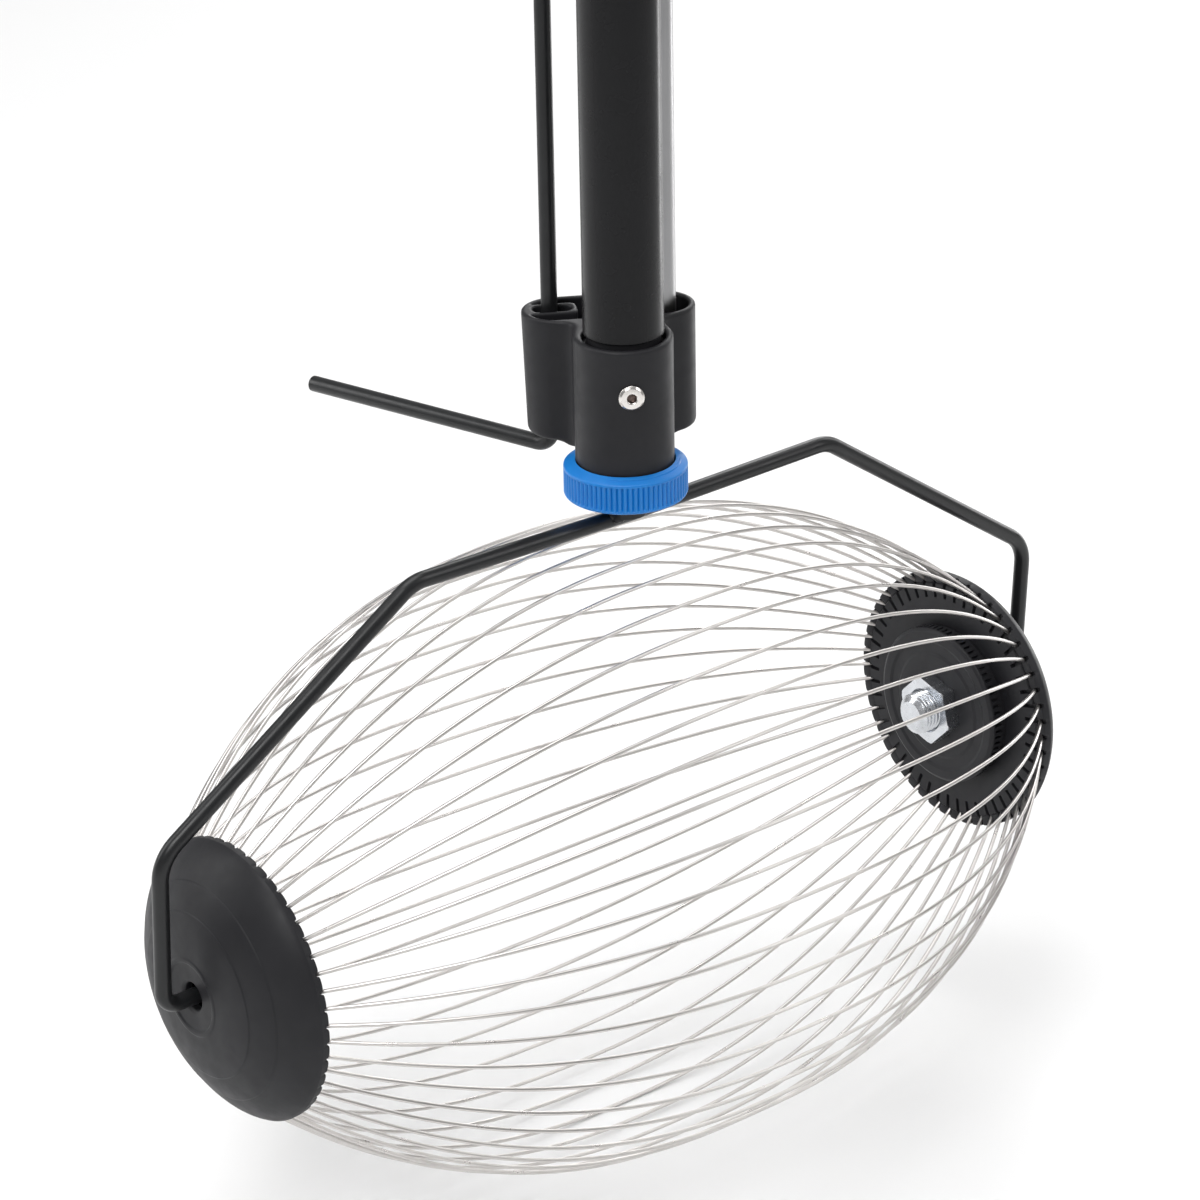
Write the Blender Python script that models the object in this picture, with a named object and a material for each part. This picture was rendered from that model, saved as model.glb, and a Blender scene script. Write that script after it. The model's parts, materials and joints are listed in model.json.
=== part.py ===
"""Rolling basket gatherer: the head of a tool that rolls over nuts and fallen fruit and
picks them up between the wires of an oval basket.

The tool's own frame has the pole's axis on Z and the basket's axle along X, at the
height 0. The whole tool hangs on one empty, which puts the pole's upper end at the
world's origin. Sizes are in millimetres, and build_mesh turns them into metres.
"""

import math

import bmesh
import bpy
from mathutils import Matrix, Vector

MM = 0.001
GAP = 0.3                      # between pieces that touch or screw together

# Pole section
POLE_RADIUS = 12.5
POLE_WALL = 1.2
POLE_BOTTOM = 173.9
POLE_TOP = 450.0
TOOL_TOP = 470.0               # top of the coupling's spigot
SPIGOT_RADIUS = 8.0

# Yoke, bent from round rod in one plane that leans a little against the pole
ROD_RADIUS = 2.6
LEG_X = 175.8
SHOULDER_Z = 51.0
BAR_HALF = 83.0
BAR_END_Z = 114.7
BAR_Z = 113.3                  # middle of the top bar, where the yoke leans from
YOKE_LEAN = math.radians(3.5)
LEG_BEND = 5.5
SHOULDER_BEND = 14.0
ROD_END_X = 130.3

# Basket
WIRE_COUNT = 50
WIRE_RADIUS = 0.65
WIRE_FIRST_ANGLE = math.radians(1.2)
RIM_X = 147.3
RIM_WIRE_RADIUS = 43.0
BASKET_RADIUS = 100.6          # to the wires' centre lines, at the middle
BULGE_POWER = 2.39
WIRE_END_X = 151.2
SLEEVE_END_X = 127.8
SLEEVE_RADIUS = 7.0
SLEEVE_BORE = 2.9

# Clamp bracket, turned against the yoke about the pole's axis
BRACKET_TURN = math.radians(-31.0)
SOCKET_RADIUS = 15.1
SOCKET_TOP = 172.8
SOCKET_BOTTOM = 129.6
POCKET_BOTTOM = 132.8
POCKET_BACK = 26.0             # from the pole's axis to the pocket's middle line
POCKET_LEFT = -17.0            # centres of the pocket's two round ends
POCKET_RIGHT = 15.0
POCKET_RADIUS = 11.2
POCKET_WALL = 2.0
RIVET_Z = 158.2

# Pieces that stand in the bracket
EMPTYING_ROD_AT = (-19.3, 27.0)
SPARE_TUBE_AT = (12.2, 26.0)
SPARE_TUBE_RADIUS = 8.0
SPARE_TUBE_WALL = 1.0
ARM_Z = 126.8
ARM_TURN = math.radians(105.4)  # direction of the arm, from +X
ARM_LENGTH = 96.5
ARM_BEND = 6.0

# Lock nut, a union nut
NUT_RADIUS = 19.3
NUT_BOTTOM = 121.0
NUT_TOP = 131.0
NUT_HOLE = 7.2
NUT_BORE = 12.3
STUB_RADIUS = 6.6


# ---------------------------------------------------------------- shared tools

def clear_scene():
    for old in list(bpy.data.objects):
        bpy.data.objects.remove(old, do_unlink=True)


def material(name, colour, roughness, metallic=0.0):
    made = bpy.data.materials.new(name)
    made.use_nodes = True
    shader = made.node_tree.nodes["Principled BSDF"]
    shader.inputs["Base Color"].default_value = (*colour, 1.0)
    shader.inputs["Roughness"].default_value = roughness
    shader.inputs["Metallic"].default_value = metallic
    made.diffuse_color = (*colour, 1.0)
    return made


def empty(name, location=(0.0, 0.0, 0.0), rotation=(0.0, 0.0, 0.0), parent=None):
    made = bpy.data.objects.new(name, None)
    made.location = Vector(location) * MM
    made.rotation_euler = rotation
    made.parent = parent
    bpy.context.scene.collection.objects.link(made)
    return made


def build_mesh(name, points, faces, look, parent, smooth_angle=35.0):
    """One object from points in millimetres and faces that list them."""
    mesh = bpy.data.meshes.new(name)
    mesh.from_pydata([Vector(point) * MM for point in points], [], faces)
    work = bmesh.new()
    work.from_mesh(mesh)
    bmesh.ops.recalc_face_normals(work, faces=work.faces)
    work.to_mesh(mesh)
    work.free()
    mesh.shade_smooth()
    mesh.set_sharp_from_angle(angle=math.radians(smooth_angle))
    made = bpy.data.objects.new(name, mesh)
    if look is not None:
        mesh.materials.append(look)
    made.parent = parent
    bpy.context.scene.collection.objects.link(made)
    return made


def boolean(target, cutter, operation="DIFFERENCE"):
    """Cut or join target with cutter, which is left out of the part."""
    cutter.hide_render = True
    cutter.display_type = "WIRE"
    step = target.modifiers.new(f"{operation.lower()}_{cutter.name}", "BOOLEAN")
    step.operation = operation
    step.solver = "EXACT"
    step.object = cutter


def turned(name, profile, look, parent, segments=36, axis="Z", closed=False):
    """Turn a profile of (radius, height) points about an axis.

    closed joins the last point to the first, for a piece with a bore. Otherwise the
    profile starts and ends on the axis, with a radius of 0.
    """
    points = []
    rings = []
    for radius, height in profile:
        ring = []
        steps = 1 if radius == 0.0 else segments
        for step in range(steps):
            angle = math.tau * step / segments
            across = (radius * math.cos(angle), radius * math.sin(angle))
            ring.append(len(points))
            points.append((*across, height) if axis == "Z" else (height, *across))
        rings.append(ring)
    pairs = list(zip(rings, rings[1:]))
    if closed:
        pairs.append((rings[-1], rings[0]))
    faces = []
    for low, high in pairs:
        for step in range(segments):
            after = (step + 1) % segments
            if len(low) == 1:
                faces.append((low[0], high[step], high[after]))
            elif len(high) == 1:
                faces.append((low[step], high[0], low[after]))
            else:
                faces.append((low[step], high[step], high[after], low[after]))
    return build_mesh(name, points, faces, look, parent)


def prism(name, outline, low, high, look, parent):
    """An outline of (x, y) points, pulled from height low to height high."""
    count = len(outline)
    points = [(x, y, low) for x, y in outline] + [(x, y, high) for x, y in outline]
    faces = [tuple(range(count))[::-1], tuple(range(count, 2 * count))]
    for index in range(count):
        after = (index + 1) % count
        faces.append((index, after, count + after, count + index))
    return build_mesh(name, points, faces, look, parent)


def stadium(left, right, middle, radius, segments):
    """A slot-shaped outline whose round ends have centres at left and right."""
    outline = []
    for centre, start in ((right, -0.5 * math.pi), (left, 0.5 * math.pi)):
        for step in range(segments + 1):
            angle = start + math.pi * step / segments
            outline.append((centre + radius * math.cos(angle),
                            middle + radius * math.sin(angle)))
    return outline


def rounded(corners, bends, segments=4):
    """A path through corners, with each inner corner bent to its own radius."""
    corners = [Vector(corner) for corner in corners]
    path = [corners[0]]
    for before, corner, after, radius in zip(corners, corners[1:], corners[2:], bends):
        into = (corner - before).normalized()
        out = (after - corner).normalized()
        turn = into.angle(out)
        reach = radius * math.tan(turn / 2)
        centre = corner + (out - into).normalized() * (radius / math.cos(turn / 2))
        start = corner - into * reach - centre
        for step in range(segments + 1):
            spin = Matrix.Rotation(turn * step / segments, 3, into.cross(out))
            path.append(centre + spin @ start)
    path.append(corners[-1])
    return path


def swept(name, path, radius, look, parent, sides=12, end_chamfer=0.0):
    """A round rod along a path, with flat or chamfered ends."""
    path = [Vector(point) for point in path]
    radii = [radius] * len(path)
    if end_chamfer:
        first = (path[1] - path[0]).normalized() * end_chamfer
        last = (path[-1] - path[-2]).normalized() * end_chamfer
        path = [path[0], path[0] + first, *path[1:-1], path[-1] - last, path[-1]]
        radii = [radius - end_chamfer, *[radius] * (len(path) - 2), radius - end_chamfer]
    points = []
    side = None
    for index, point in enumerate(path):
        before = path[max(index - 1, 0)]
        after = path[min(index + 1, len(path) - 1)]
        along = (after - before).normalized()
        if side is None:
            guide = Vector((0.0, 1.0, 0.0)) if abs(along.y) < 0.9 else Vector((1.0, 0.0, 0.0))
            side = guide
        side = (side - along * side.dot(along)).normalized()
        other = along.cross(side)
        stretch = 1.0
        if 0 < index < len(path) - 1:
            half = (path[index] - before).angle(after - path[index]) / 2
            stretch = 1.0 / math.cos(half)
        bend_out = (path[index] - before).normalized() - (after - path[index]).normalized()
        bend_out = bend_out.normalized() if bend_out.length > 1e-6 else Vector()
        for step in range(sides):
            angle = math.tau * step / sides
            arm = radii[index] * (side * math.cos(angle) + other * math.sin(angle))
            arm += bend_out * arm.dot(bend_out) * (stretch - 1.0)
            points.append(point + arm)
    faces = [tuple(range(sides))[::-1]]
    for index in range(len(path) - 1):
        low = index * sides
        high = low + sides
        for step in range(sides):
            after = (step + 1) % sides
            faces.append((low + step, low + after, high + after, high + step))
    faces.append(tuple(range(len(points) - sides, len(points))))
    return build_mesh(name, points, faces, look, parent, smooth_angle=50.0)


# ---------------------------------------------------------------- pole section

def make_pole(tool, looks):
    inner = POLE_RADIUS - POLE_WALL
    edge = 0.5
    turned("pole_tube", [
        (inner, POLE_BOTTOM), (POLE_RADIUS - edge, POLE_BOTTOM),
        (POLE_RADIUS, POLE_BOTTOM + edge), (POLE_RADIUS, POLE_TOP), (inner, POLE_TOP),
    ], looks["pole"], tool, closed=True)

    socket_fit = 11.4
    tube_fit = inner - GAP
    bore = 8.2
    core = turned("pole_core", [
        (bore, 134.6), (socket_fit - 0.6, 134.6), (socket_fit, 135.2),
        (socket_fit, POLE_BOTTOM - GAP), (tube_fit, POLE_BOTTOM - GAP),
        (tube_fit, 205.0), (bore, 205.0),
    ], looks["bracket"], tool, closed=True)

    collar = POLE_TOP + GAP
    shoulder = POLE_TOP + 4.0
    turned("pole_coupling", [
        (0.0, 424.0), (tube_fit - 1.0, 424.0), (tube_fit, 425.0), (tube_fit, collar),
        (POLE_RADIUS, collar), (POLE_RADIUS, shoulder - 0.8),
        (POLE_RADIUS - 0.8, shoulder), (SPIGOT_RADIUS, shoulder),
        (SPIGOT_RADIUS, TOOL_TOP - 1.0), (SPIGOT_RADIUS - 1.0, TOOL_TOP), (0.0, TOOL_TOP),
    ], looks["bracket"], tool)
    return core


# ---------------------------------------------------------------- clamp bracket

def make_bracket(bracket_frame, looks, core):
    plastic = looks["bracket"]
    bracket = turned("clamp_bracket", [
        (0.0, 125.5), (11.6, 125.5), (12.0, 125.9), (12.0, SOCKET_BOTTOM),
        (SOCKET_RADIUS - 0.5, SOCKET_BOTTOM), (SOCKET_RADIUS, SOCKET_BOTTOM + 0.5),
        (SOCKET_RADIUS, SOCKET_TOP - 0.7), (SOCKET_RADIUS - 0.7, SOCKET_TOP),
        (0.0, SOCKET_TOP),
    ], plastic, bracket_frame)

    pocket_shell = prism(
        "pocket_shell_shape",
        stadium(POCKET_LEFT, POCKET_RIGHT, POCKET_BACK, POCKET_RADIUS, 12),
        POCKET_BOTTOM, SOCKET_TOP - 0.05, plastic, bracket_frame)
    edge = pocket_shell.modifiers.new("round_the_edges", "BEVEL")
    edge.width = 1.0 * MM
    edge.segments = 2
    edge.limit_method = "ANGLE"
    edge.angle_limit = math.radians(60.0)
    boolean(bracket, pocket_shell, "UNION")

    web_half = 12.6
    web = prism(
        "web_shape",
        [(-web_half, 5.0), (web_half, 5.0), (web_half, 17.0), (-web_half, 17.0)],
        POCKET_BOTTOM + 0.6, SOCKET_TOP - 0.6, plastic, bracket_frame)
    boolean(bracket, web, "UNION")

    # The pocket goes round the slot's thin wall, which is cut out of the cutter.
    pocket = prism(
        "pocket_cut",
        stadium(POCKET_LEFT + 3.0, POCKET_RIGHT, POCKET_BACK, POCKET_RADIUS - POCKET_WALL, 12),
        POCKET_BOTTOM + 2.5, SOCKET_TOP + 5.0, None, bracket_frame)
    slot_wall = prism(
        "slot_wall_shape", stadium(-30.0, -15.2, EMPTYING_ROD_AT[1], 4.3, 8),
        POCKET_BOTTOM - 5.0, SOCKET_TOP + 9.0, None, bracket_frame)
    boolean(pocket, slot_wall)
    boolean(bracket, pocket)

    slot = prism(
        "slot_cut", stadium(-21.6, -15.2, EMPTYING_ROD_AT[1], ROD_RADIUS + 0.4, 8),
        POCKET_BOTTOM - 5.0, SOCKET_TOP + 9.0, None, bracket_frame)
    boolean(bracket, slot)

    mouth = 12.9
    bore = turned("socket_bore_cut", [
        (0.0, 134.2), (11.75, 134.2), (11.75, SOCKET_TOP - 4.0), (mouth, SOCKET_TOP - 3.0),
        (mouth, SOCKET_TOP + 5.0), (0.0, SOCKET_TOP + 5.0),
    ], None, bracket_frame)
    boolean(bracket, bore)

    # One blind rivet through the socket's front wall and the core.
    rivet_hole = turned("rivet_hole_cut", [
        (0.0, 0.0), (2.3, 0.0), (2.3, 20.0), (0.0, 20.0),
    ], None, bracket_frame, segments=16)
    front = Matrix.Translation(Vector((0.0, 0.0, RIVET_Z)) * MM)
    front @= Matrix.Rotation(math.radians(90.0), 4, "X")
    rivet_hole.matrix_local = front
    boolean(bracket, rivet_hole)
    boolean(core, rivet_hole)

    seat = SOCKET_RADIUS + GAP
    rivet = turned("rivet", [
        (1.4, 6.2), (2.9, 6.2), (2.9, 7.6), (2.0, 8.0), (2.0, seat), (4.0, seat),
        (4.0, seat + 0.4), (3.3, seat + 1.1), (1.9, seat + 1.3), (1.4, seat + 0.9),
    ], looks["rivet"], bracket_frame, segments=16, closed=True)
    rivet.matrix_local = front


def make_spare_tube(bracket_frame, looks):
    across, back = SPARE_TUBE_AT
    foot = POCKET_BOTTOM + 2.5 + GAP
    stand = empty("spare_tube_frame", (across, back, 0.0), parent=bracket_frame)
    low = foot + 2.0
    high = 440.0
    inner = SPARE_TUBE_RADIUS - SPARE_TUBE_WALL
    turned("spare_tube", [
        (inner, low), (SPARE_TUBE_RADIUS, low), (SPARE_TUBE_RADIUS, high), (inner, high),
    ], looks["aluminium"], stand, segments=28, closed=True)

    outer = POCKET_RADIUS - POCKET_WALL - GAP
    sleeve = SPARE_TUBE_RADIUS + GAP
    turned("spare_tube_ferrule", [
        (0.0, foot), (outer - 0.8, foot), (outer, foot + 0.8), (outer, foot + 11.0),
        (sleeve, foot + 11.0), (sleeve, low - GAP), (0.0, low - GAP),
    ], looks["rubber"], stand, segments=28)

    turned("spare_tube_cap", [
        (0.0, high - 12.0), (inner - GAP, high - 12.0), (inner - GAP, high + GAP),
        (SPARE_TUBE_RADIUS + 0.4, high + GAP), (SPARE_TUBE_RADIUS + 0.4, high + 2.5),
        (SPARE_TUBE_RADIUS - 1.0, high + 4.0), (0.0, high + 4.0),
    ], looks["bracket"], stand, segments=28)


def make_emptying_rod(tool, bracket_frame, looks):
    stand = empty("emptying_rod_frame", parent=tool)
    turn = Matrix.Rotation(BRACKET_TURN, 3, "Z")
    foot = turn @ Vector((*EMPTYING_ROD_AT, 0.0))
    rod_top = 418.0
    reach = Vector((math.cos(ARM_TURN), math.sin(ARM_TURN), 0.0)) * ARM_LENGTH
    corner = foot + Vector((0.0, 0.0, ARM_Z))
    swept("emptying_rod", rounded(
        [foot + Vector((0.0, 0.0, rod_top)), corner, corner + reach], [ARM_BEND], 5,
    ), ROD_RADIUS, looks["rod"], stand, sides=12, end_chamfer=0.5)

    bore = ROD_RADIUS + GAP
    knob_frame = empty("knob_frame", foot, parent=stand)
    turned("emptying_rod_knob", [
        (0.0, rod_top + GAP), (bore, rod_top + GAP), (bore, 402.0), (5.0, 402.0),
        (6.5, 404.0), (6.5, 410.0), (8.6, 416.0), (9.0, 421.0), (7.6, 426.5),
        (4.0, 429.6), (0.0, 430.4),
    ], looks["bracket"], knob_frame, segments=20)


# ---------------------------------------------------------------- yoke and lock nut

def make_yoke(tool, yoke_frame, looks):
    """The yoke's own frame has its origin in the middle of the top bar."""
    half = [(ROD_END_X, 0.0), (LEG_X, 0.0), (LEG_X, SHOULDER_Z), (BAR_HALF, BAR_END_Z)]
    corners = [(x, 0.0, z - BAR_Z) for x, z in half]
    corners.append((0.0, 0.0, 0.0))
    corners += [(-x, 0.0, z - BAR_Z) for x, z in reversed(half)]
    bends = [LEG_BEND, SHOULDER_BEND, SHOULDER_BEND, 60.0,
             SHOULDER_BEND, SHOULDER_BEND, LEG_BEND]
    swept("yoke_rod", rounded(corners, bends), ROD_RADIUS, looks["rod"], yoke_frame,
          sides=10, end_chamfer=0.4)

    flange = 11.0
    foot = BAR_Z + 0.6
    stub = turned("yoke_stub", [
        (0.0, foot), (STUB_RADIUS - 0.5, foot), (STUB_RADIUS, foot + 0.5),
        (STUB_RADIUS, 123.6), (flange, 123.6), (flange, 125.2), (0.0, 125.2),
    ], looks["rod"], tool, segments=28)
    saddle = turned("saddle_cut", [
        (0.0, -20.0), (ROD_RADIUS + 0.45, -20.0), (ROD_RADIUS + 0.45, 20.0), (0.0, 20.0),
    ], None, yoke_frame, segments=24, axis="X")
    boolean(stub, saddle)


def make_lock_nut(tool, looks):
    turned("slip_washer", [
        (STUB_RADIUS + 0.4, 122.7), (NUT_BORE - 0.4, 122.7),
        (NUT_BORE - 0.4, 123.3), (STUB_RADIUS + 0.4, 123.3),
    ], looks["washer"], tool, closed=True)

    floor = NUT_TOP - 2.0
    rim = 0.9
    crest = POCKET_BOTTOM - 0.4  # the top face rises to the socket as a cone
    turned("lock_nut", [
        (NUT_HOLE, NUT_BOTTOM), (NUT_RADIUS - rim, NUT_BOTTOM),
        (NUT_RADIUS - 0.25, NUT_BOTTOM + 0.35), (NUT_RADIUS, NUT_BOTTOM + rim),
        (NUT_RADIUS, NUT_TOP - rim), (NUT_RADIUS - 0.25, NUT_TOP - 0.25),
        (SOCKET_RADIUS + 1.1, crest), (SOCKET_RADIUS + 0.4, crest),
        (SOCKET_RADIUS + 0.4, floor), (NUT_BORE, floor), (NUT_BORE, NUT_BOTTOM + 1.4),
        (NUT_HOLE, NUT_BOTTOM + 1.4),
    ], looks["blue"], tool, segments=48, closed=True)


# ---------------------------------------------------------------- basket

def wire_radius_at(x):
    """Distance of a wire's centre line from the axle, at x along the axle."""
    bulge = BASKET_RADIUS - RIM_WIRE_RADIUS
    return RIM_WIRE_RADIUS + bulge * (1.0 - (abs(x) / RIM_X) ** BULGE_POWER)


def make_caps(basket, looks):
    plastic = looks["bracket"]
    for side, sign in (("left", -1.0), ("right", 1.0)):
        shell = [
            (45.1, 146.9), (44.9, 149.4), (42.3, 153.2), (35.3, 158.9), (34.8, 159.4),
            (27.0, 163.3), (26.5, 163.8), (12.6, 166.0), (11.2, 166.1), (10.6, 165.5),
            (4.4, 165.1), (4.4, 161.8), (26.0, 161.6), (33.4, 157.6), (40.9, 151.6),
            (44.4, 146.9),
        ]
        turned(f"cap_{side}", [(r, sign * x) for r, x in shell], plastic, basket,
               segments=40, axis="X", closed=True)

        retainer = [
            (7.3, 139.7), (26.4, 139.7), (27.4, 140.3), (27.4, 146.5), (41.4, 146.5),
            (41.5, 147.4), (39.3, 149.5), (24.8, 149.5), (24.8, 142.2), (7.3, 142.2),
        ]
        turned(f"wire_retainer_{side}", [(r, sign * x) for r, x in retainer], plastic,
               basket, segments=40, axis="X", closed=True)

        sleeve = [
            (0.0, SLEEVE_END_X), (6.0, SLEEVE_END_X), (SLEEVE_RADIUS, 128.8),
            (SLEEVE_RADIUS, 158.9), (10.8, 158.9), (10.8, 161.3), (SLEEVE_BORE, 161.3),
            (SLEEVE_BORE, 129.7), (0.0, 129.7),
        ]
        turned(f"axle_sleeve_{side}", [(r, sign * x) for r, x in sleeve],
               looks["zinc"], basket, segments=20, axis="X")

        make_hex_nut(f"axle_nut_{side}", sign, basket, looks["zinc"])


def make_hex_nut(name, sign, basket, look):
    """A round bore in a six-sided block: rings of points, the outer ones on the flats."""
    across_flats = 21.0
    bore = SLEEVE_RADIUS + GAP
    turn = math.radians(19.0)
    count = 24
    points = []
    for x, ring in ((134.2, "bore"), (134.2, "flats"), (139.4, "flats"), (139.4, "bore")):
        for step in range(count):
            angle = math.tau * step / count
            within = (angle + math.pi / 6) % (math.pi / 3) - math.pi / 6
            radius = bore if ring == "bore" else across_flats / 2 / math.cos(within)
            points.append((sign * x, radius * math.cos(angle - turn),
                           radius * math.sin(angle - turn)))
    faces = []
    for low in range(0, 4 * count, count):
        high = (low + count) % (4 * count)
        for step in range(count):
            after = (step + 1) % count
            faces.append((low + step, low + after, high + after, high + step))
    build_mesh(name, points, faces, look, basket)


def make_wires(basket, looks):
    """Hairpins of two neighbouring wires, joined by a bend inside the left cap."""
    steps = 10
    pitch = math.tau / WIRE_COUNT
    stations = [-WIRE_END_X]
    for step in range(steps + 1):
        # Closer together near the rims, where the wires bend most.
        stations.append(-RIM_X * math.cos(math.pi * step / steps))
    stations.append(WIRE_END_X)
    for pair in range(WIRE_COUNT // 2):
        path = []
        for leg, order in ((1, reversed(stations)), (0, stations)):
            angle = WIRE_FIRST_ANGLE + pitch * (2 * pair + leg)
            for x in order:
                radius = wire_radius_at(x)
                path.append((x, radius * math.cos(angle), radius * math.sin(angle)))
        swept(f"basket_wires_{pair + 1:02d}", path, WIRE_RADIUS, looks["wire"], basket,
              sides=4)


# ---------------------------------------------------------------- whole tool

def main():
    clear_scene()
    looks = {
        "pole": material("pole_black", (0.035, 0.035, 0.037), 0.38, 0.0),
        "bracket": material("black_plastic", (0.04, 0.041, 0.043), 0.5),
        "rod": material("coated_rod", (0.022, 0.023, 0.025), 0.25),
        "blue": material("blue_plastic", (0.01, 0.16, 0.62), 0.38),
        "wire": material("stainless_wire", (0.72, 0.7, 0.68), 0.22, 1.0),
        "zinc": material("zinc_plated", (0.74, 0.76, 0.79), 0.28, 1.0),
        "aluminium": material("aluminium_tube", (0.66, 0.66, 0.67), 0.35, 1.0),
        "rivet": material("rivet_aluminium", (0.8, 0.77, 0.74), 0.3, 1.0),
        "rubber": material("ferrule_rubber", (0.02, 0.02, 0.02), 0.8),
        "washer": material("washer_nylon", (0.78, 0.77, 0.72), 0.5),
    }
    tool = empty("tool_frame", (0.0, 0.0, -TOOL_TOP))
    bracket_frame = empty("bracket_frame", rotation=(0.0, 0.0, BRACKET_TURN), parent=tool)
    yoke_frame = empty("yoke_frame", (0.0, 0.0, BAR_Z), (YOKE_LEAN, 0.0, 0.0), tool)
    basket = empty("basket_frame", (0.0, 0.0, -BAR_Z), parent=yoke_frame)

    core = make_pole(tool, looks)
    make_bracket(bracket_frame, looks, core)
    make_spare_tube(bracket_frame, looks)
    make_emptying_rod(tool, bracket_frame, looks)
    make_yoke(tool, yoke_frame, looks)
    make_lock_nut(tool, looks)
    make_caps(basket, looks)
    make_wires(basket, looks)
    bpy.context.view_layer.update()


main()
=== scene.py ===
"""The looks of a rolling basket gatherer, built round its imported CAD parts.

Lengths are in millimetres until a mesh is made. The tool's own frame has the pole's axis
on Z and the basket's axle near the height 0. The places of the axle, the yoke and the
pole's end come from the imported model.
"""

import json
import math
import random

import bmesh
import bpy
import numpy as np
from mathutils import Matrix, Vector


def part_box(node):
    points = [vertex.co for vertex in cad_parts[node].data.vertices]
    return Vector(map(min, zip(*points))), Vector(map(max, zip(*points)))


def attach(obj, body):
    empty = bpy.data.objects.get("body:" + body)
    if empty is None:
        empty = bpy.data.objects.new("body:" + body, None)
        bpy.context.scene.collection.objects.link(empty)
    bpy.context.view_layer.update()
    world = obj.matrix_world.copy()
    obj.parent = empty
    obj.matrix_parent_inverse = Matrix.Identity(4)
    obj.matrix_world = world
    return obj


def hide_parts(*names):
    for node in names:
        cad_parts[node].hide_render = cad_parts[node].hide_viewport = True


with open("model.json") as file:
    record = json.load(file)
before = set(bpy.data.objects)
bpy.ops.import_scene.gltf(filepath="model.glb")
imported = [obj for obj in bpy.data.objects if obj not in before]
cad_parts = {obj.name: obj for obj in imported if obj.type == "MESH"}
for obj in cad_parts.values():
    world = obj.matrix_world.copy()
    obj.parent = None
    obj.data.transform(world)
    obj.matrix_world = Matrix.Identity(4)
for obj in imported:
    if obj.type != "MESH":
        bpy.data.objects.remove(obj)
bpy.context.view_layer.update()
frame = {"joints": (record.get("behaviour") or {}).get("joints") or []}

MM = 0.001
GAP = 0.3

# ---------------------------------------------------------------- frames and sizes

TOOL_TOP = 470.0               # height of the coupling's spigot in the tool's frame
BAR_Z = 113.3                  # height of the yoke's top bar, where the yoke leans from
BRACKET_TURN = math.radians(-31.0)

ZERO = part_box("pole_coupling")[1].z / MM - TOOL_TOP
AXLE = Vector(next(j["pos_m"] for j in frame["joints"] if j["name"] == "basket_spin")) / MM
BAR = Vector((0.0, 0.0, ZERO + BAR_Z))
LEAN = math.atan2(AXLE.y, BAR.z - AXLE.z)

TOOL = Matrix.Translation((0.0, 0.0, ZERO))
BRACKET = TOOL @ Matrix.Rotation(BRACKET_TURN, 4, "Z")
YOKE = Matrix.Translation(BAR) @ Matrix.Rotation(LEAN, 4, "X")
BASKET = Matrix.Translation(AXLE) @ Matrix.Rotation(LEAN, 4, "X")

# Pole section
POLE_RADIUS = 12.5
POLE_WALL = 1.2
POLE_BOTTOM = 173.9
POLE_TOP = 450.0
SPIGOT_RADIUS = 8.0

# Yoke and emptying rod
ROD_RADIUS = 2.6
LEG_X = 175.8
SHOULDER_Z = 51.0
BAR_HALF = 83.0
BAR_END_Z = 114.7
LEG_BEND = 5.5
SHOULDER_BEND = 14.0
ROD_END_X = 130.3
STUB_RADIUS = 6.6
EMPTYING_ROD_AT = (-19.3, 27.0)
ROD_TOP = 418.0
ARM_Z = 126.8
ARM_TURN = math.radians(105.4)
ARM_LENGTH = 96.5
ARM_BEND = 6.0

# Basket
WIRE_COUNT = 50
WIRE_PITCH = math.tau / WIRE_COUNT
WIRE_RADIUS = 0.65
WIRE_FIRST_ANGLE = math.radians(1.2)
RIM_X = 147.3
RIM_WIRE_RADIUS = 43.0
NOTCH_FLOOR = 148.0            # where the wires' notches end in the caps and retainers
BASKET_RADIUS = 100.6
BULGE_POWER = 2.39
WIRE_END_X = 151.2
SLEEVE_END_X = 127.8
SLEEVE_RADIUS = 7.0
SLEEVE_BORE = 2.9

# Clamp bracket
SOCKET_RADIUS = 15.1
SOCKET_TOP = 172.8
SOCKET_BOTTOM = 129.6
NECK_RADIUS = 12.0
NECK_BOTTOM = 125.5
POCKET_BOTTOM = 132.8
POCKET_FLOOR = 2.5
POCKET_BACK = 26.0
POCKET_LEFT = -17.0
POCKET_RIGHT = 15.0
POCKET_RADIUS = 11.2
POCKET_WALL = 2.0
POCKET_REACH = 40.0            # how far its inside goes from the pole's axis
RIVET_Z = 158.2
SPARE_TUBE_AT = (12.2, 26.0)
SPARE_TUBE_RADIUS = 8.0
SPARE_TUBE_TOP = 440.0

# Lock nut
NUT_RADIUS = 19.3
NUT_BOTTOM = 121.0
NUT_TOP = 131.0
NUT_HOLE = 7.2
NUT_BORE = 12.3


# ---------------------------------------------------------------- materials

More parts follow.
